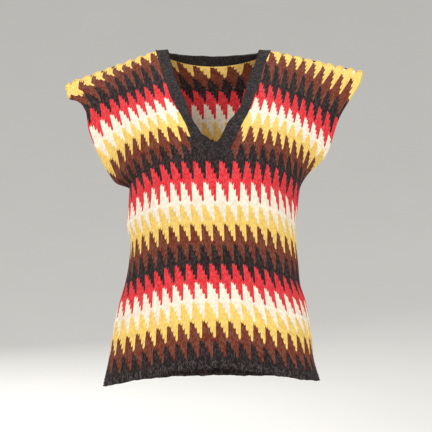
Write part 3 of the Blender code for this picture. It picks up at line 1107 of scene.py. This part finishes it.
def knit_band(name, front, back, material):
    """The neckband: a flat strip with a pick-up ridge outside and a cast-off edge inside."""
    count = BAND_WALES * BAND_STEPS
    points, normals, length = resampled(*neck_loop(front, back), count)
    normals = unit(softened(normals, NORMAL_SOFTENING))
    along = unit(np.roll(points, -1, 0) - np.roll(points, 1, 0))
    inward = unit(np.cross(along, normals))
    inward = unit(softened(inward, INWARD_SOFTENING))
    inward[:, 1] -= BAND_LEAN * smooth(points[:, 1] / BACK_NECK_DEPTH)
    inward = unit(inward)
    station = np.arange(count)
    leg = leg_height(station % BAND_STEPS / BAND_STEPS) * BAND_RIB
    angle = station / count * 2.0 * math.pi
    wave = sum(rise * np.sin(angle * waves + start) for waves, start, rise in BAND_WAVE_ROWS)
    from_foot = np.minimum(station, count - station) / count * length
    width = BAND_WIDTH - band_tuck(from_foot, np.where(station < count / 2, -1, 1))
    shares = np.linspace(BAND_START, 1.0, BAND_STRIPS + 1)
    face = []
    lining = []
    for share in shares:
        reach = width * share + wave * max(share, 0.0)
        pick_up = bell((share - PICK_UP_PLACE) / RIDGE_SPREAD)
        cast_off = bell((share - CAST_OFF_PLACE) / RIDGE_SPREAD)
        last = smooth((share - CAST_OFF_PLACE) / (1.0 - CAST_OFF_PLACE))
        half_wall = BAND_HALF_WALL * (1.0 - CAST_OFF_THINNER * last)
        ridges = PICK_UP_HEIGHT * pick_up + CAST_OFF_HEIGHT * cast_off
        height = half_wall + ridges + leg * (1.0 - cast_off)
        centre = points + inward * reach[:, None]
        face.append(centre + normals * height[:, None])
        lining.append(centre - normals * half_wall)
    rows = len(shares)
    number = np.arange(count * rows).reshape(rows, count)
    shift = count * rows
    ahead = np.roll(number, -1, 1)
    quads = np.stack([q.ravel() for q in (number[:-1], ahead[:-1], ahead[1:], number[1:])], 1)
    faces = quads.tolist()
    faces += (quads[:, ::-1] + shift).tolist()
    for row, turned in ((0, True), (rows - 1, False)):
        rim = np.stack((number[row], ahead[row], ahead[row] + shift, number[row] + shift), 1)
        faces += (rim if turned else rim[:, ::-1]).tolist()
    mesh = bpy.data.meshes.new(name)
    mesh.from_pydata(np.concatenate(face + lining).tolist(), [], faces)
    mesh.materials.append(material)
    wales = np.tile(station / BAND_STEPS, rows)
    courses = np.repeat(shares * BAND_ROWS, count)
    add_uv(mesh, "knit", np.tile(wales, 2), np.tile(courses, 2))
    mesh.shade_smooth()
    return add_object(name, mesh)


def floor_material(name):
    """A pale matt floor with faint clouds."""
    n = Nodes(name)
    clouds = n.noise(n.object_place(), FLOOR_SPOT_SCALE, FLOOR_SPOT_DETAIL)
    shade = n.math("MULTIPLY_ADD", clouds, FLOOR_SPREAD, FLOOR_DARKEST)
    colour = n.vector("SCALE", linear(FLOOR_COLOUR)[:3], {"Scale": shade})
    n.fill(n.shader, {"Base Color": colour, "Roughness": FLOOR_ROUGHNESS})
    return n.material


def make_stage():
    """A pale floor that bends up into a wall all round, with no edge in sight."""
    profile = [(STAGE_FLAT, 0.0)]
    for step in range(1, STAGE_RINGS):
        turn = step / STAGE_BEND_STEPS * math.pi / 2.0
        out = STAGE_FLAT + STAGE_BEND * math.sin(turn)
        profile.append((out, STAGE_BEND * (1.0 - math.cos(turn))))
    points = [(0.0, 0.0, 0.0)]
    for reach, height in profile:
        for k in range(STAGE_TURNS):
            angle = k / STAGE_TURNS * 2.0 * math.pi
            points.append((reach * math.cos(angle), reach * math.sin(angle), height))
    faces = []
    for k in range(STAGE_TURNS):
        ahead = (k + 1) % STAGE_TURNS
        faces.append((0, 1 + k, 1 + ahead))
        for ring in range(len(profile) - 1):
            low = 1 + ring * STAGE_TURNS
            high = low + STAGE_TURNS
            faces.append((low + k, high + k, high + ahead, low + ahead))
    mesh = bpy.data.meshes.new("floor")
    mesh.from_pydata(points, [], faces)
    mesh.materials.append(floor_material("pale_floor"))
    mesh.shade_smooth()
    floor = add_object("floor", mesh)
    floor.location = (0.0, 0.0, FLOOR_HEIGHT)


def make_lamps():
    """Round soft lamps and an even light from all round."""
    for name, place, size, power, colour in LAMP_ROWS:
        data = bpy.data.lights.new(name, "AREA")
        data.shape = "DISK"
        data.size = size
        data.energy = power
        data.color = colour
        lamp = add_object(name, data)
        lamp.location = place
        aim = Vector(LAMP_TARGET) - Vector(place)
        lamp.rotation_euler = aim.to_track_quat("-Z", "Y").to_euler()
    world = bpy.data.worlds.new("studio")
    world.use_nodes = True
    background = world.node_tree.nodes["Background"]
    background.inputs["Color"].default_value = WORLD_COLOUR
    background.inputs["Strength"].default_value = WORLD_STRENGTH
    bpy.context.scene.world = world


def make_camera():
    """A level camera at the photograph's place."""
    data = bpy.data.cameras.new("camera")
    data.sensor_width = SENSOR
    data.lens = CAMERA_LENS
    data.clip_end = CAMERA_FAR
    camera = add_object("camera", data)
    camera.location = CAMERA_AT
    camera.rotation_euler = (math.pi / 2.0, 0.0, 0.0)
    bpy.context.scene.camera = camera
    bpy.context.scene.view_settings.view_transform = "Standard"


def panel_parts(facing):
    """A panel's plain sheet with its points and directions, for the neckband to join."""
    grid = Grid(facing)
    columns = {s: np.arange(grid.columns(s)) for s in (-1, 1)}
    sheet = Sheet(grid, np.arange(len(grid.levels)), columns)
    points, normals = panel_surface(grid, sheet)
    return sheet, points, normals


def main():
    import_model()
    make_camera()
    make_stage()
    make_lamps()
    face = flame_knit("flame_knit_face", False)
    lining = flame_knit("flame_knit_inside", True)
    charcoal = band_knit("charcoal_band")
    front = knit_panel("front_knit", -1, (face, lining))
    back = knit_panel("back_knit", 1, (face, lining))
    band = knit_band("neckband_knit", panel_parts(-1), panel_parts(1), charcoal)
    for piece, node, slot in (
        (front, "front_panel", "flame_knit"),
        (back, "back_panel", "flame_knit"),
        (band, "neckband", "charcoal_knit"),
    ):
        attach(piece, "root")
        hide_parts(node)


main()
